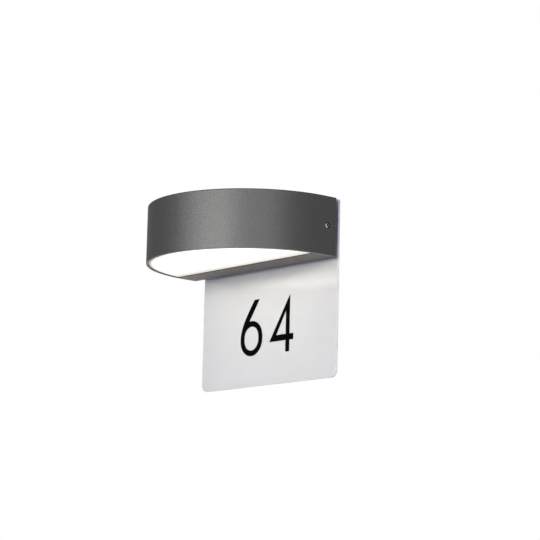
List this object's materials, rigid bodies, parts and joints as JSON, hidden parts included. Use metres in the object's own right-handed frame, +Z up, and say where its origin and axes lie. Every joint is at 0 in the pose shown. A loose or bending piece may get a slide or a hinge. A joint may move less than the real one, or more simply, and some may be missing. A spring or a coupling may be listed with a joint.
{
  "type": "outdoor wall light",
  "caption": "Half-round wall light with an opal diffuser underneath and an opal number plate hung behind it against the wall.",
  "frame": {"origin": "on the wall plane, midway between the two wall screws, at half the height of the housing", "axes": "+Z up, +Y into the wall, +X to the right for someone who faces the wall; the light stands out towards -Y"},
  "size_m": [0.242, 0.147, 0.197],
  "materials": {
    "powder_coat": "fine-textured anthracite powder coat on cast aluminium",
    "opal_diffuser": "satin opal acrylic, lit from behind",
    "silicone": "white silicone",
    "reflector_white": "matt white moulding",
    "thermal_sheet": "soft heat-conducting sheet",
    "board_white": "white solder mask on an aluminium core",
    "chip_yellow": "phosphor under clear resin",
    "zinc_steel": "bright zinc-plated steel",
    "stainless": "stainless steel",
    "brass": "plain brass",
    "tinned_brass": "tinned brass",
    "white_plastic": "white moulded plastic",
    "driver_case": "matt white moulded case",
    "black_rubber": "black rubber",
    "wire_red": "red insulation",
    "wire_black": "black insulation",
    "wire_brown": "brown insulation",
    "wire_blue": "blue insulation",
    "wire_earth": "green and yellow insulation",
    "spacer_aluminium": "turned aluminium",
    "opal_acrylic": "glossy opal white acrylic sheet",
    "digit_black": "gloss black self-adhesive plastic"
  },
  "bodies": {
    "root": {"housing_shell": "powder_coat", "diffuser": "opal_diffuser", "diffuser_seal": "silicone", "reflector_tray": "reflector_white", "thermal_pad": "thermal_sheet", "led_board": "board_white", "led_chips": "chip_yellow", "led_board_screws": "zinc_steel", "board_connector": "white_plastic", "led_lead_plus": "wire_red", "led_lead_minus": "wire_black", "led_grommet": "black_rubber", "led_driver": "driver_case", "driver_screws": "zinc_steel", "lead_live": "wire_brown", "lead_neutral": "wire_blue", "terminal_block": "white_plastic", "terminal_clamp_screws": "brass", "terminal_base_screws": "zinc_steel", "lead_earth": "wire_earth", "earth_tag": "tinned_brass", "earth_washer": "zinc_steel", "earth_screw": "zinc_steel", "mounting_bracket": "zinc_steel", "bracket_lugs": "zinc_steel", "bracket_seal": "black_rubber", "cable_grommet": "black_rubber", "wall_spacers": "spacer_aluminium", "side_screws": "stainless", "number_plate": "opal_acrylic", "digit_six": "digit_black", "digit_four": "digit_black"}
  },
  "joints": []
}
